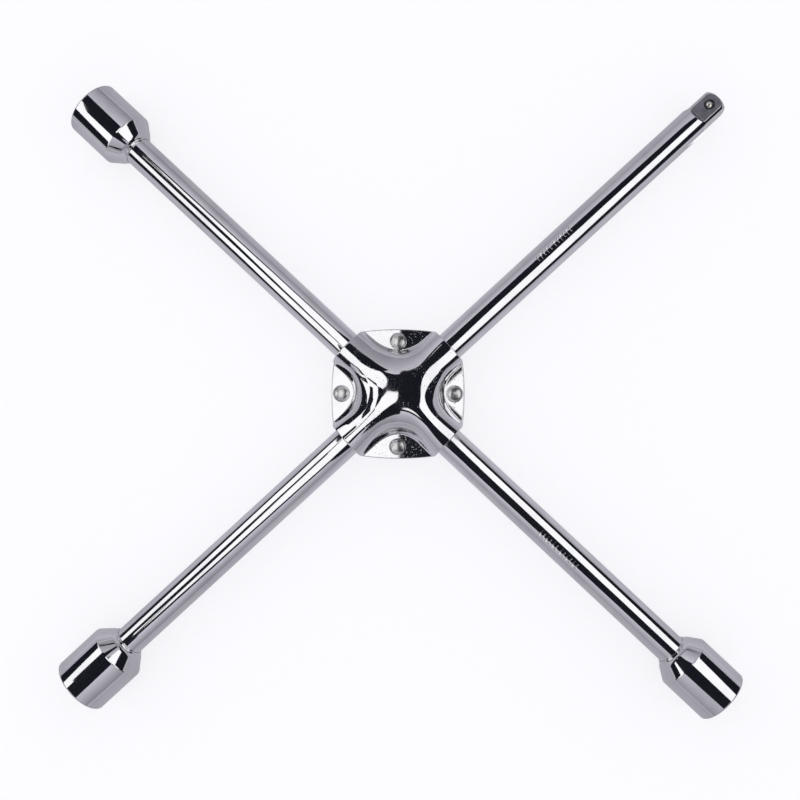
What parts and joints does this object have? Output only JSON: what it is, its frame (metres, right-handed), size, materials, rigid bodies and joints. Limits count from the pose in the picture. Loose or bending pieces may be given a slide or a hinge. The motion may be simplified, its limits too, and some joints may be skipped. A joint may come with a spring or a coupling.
{
  "type": "four-way wheel lug wrench",
  "caption": "Cross-shaped chrome wheel wrench: crossed round bars under riveted pressed cover plates, hexagon sockets and a square drive with a detent ball",
  "frame": {"origin": "where the axes of the two bars cross, in the plane of the bars", "axes": "+X along bar A towards the 17 mm socket (2.15 degrees past it), +Y along bar B towards the square drive (2.15 degrees past it), +Z out of the front cover plate, the side the picture shows"},
  "size_m": [0.4588, 0.4584, 0.032],
  "materials": {
    "bar_chrome": "polished chrome plate with fine handling scratches",
    "socket_chrome": "polished chrome plate over turned steel",
    "plate_chrome": "polished chrome plate over pressed sheet steel",
    "rivet_steel": "satin domed rivet heads",
    "detent_steel": "polished bearing ball and spring wire"
  },
  "bodies": {
    "wrench": {"bar_a": "bar_chrome", "bar_b": "bar_chrome", "socket_17mm": "socket_chrome", "socket_19mm": "socket_chrome", "socket_21mm": "socket_chrome", "front_cover_plate": "plate_chrome", "back_cover_plate": "plate_chrome", "rivet_1": "rivet_steel", "rivet_2": "rivet_steel", "rivet_3": "rivet_steel", "rivet_4": "rivet_steel", "detent_spring": "detent_steel"},
    "detent": {"detent_ball": "detent_steel"}
  },
  "joints": [
    {"name": "detent_press", "type": "slide", "parent": "wrench", "child": "detent", "axis": [0.1391, -0.0052, -0.9903], "range_m": [0, 0.001], "stiffness_N_per_m": 600, "springref_m": -0.001, "deforming": ["detent_spring"]}
  ]
}
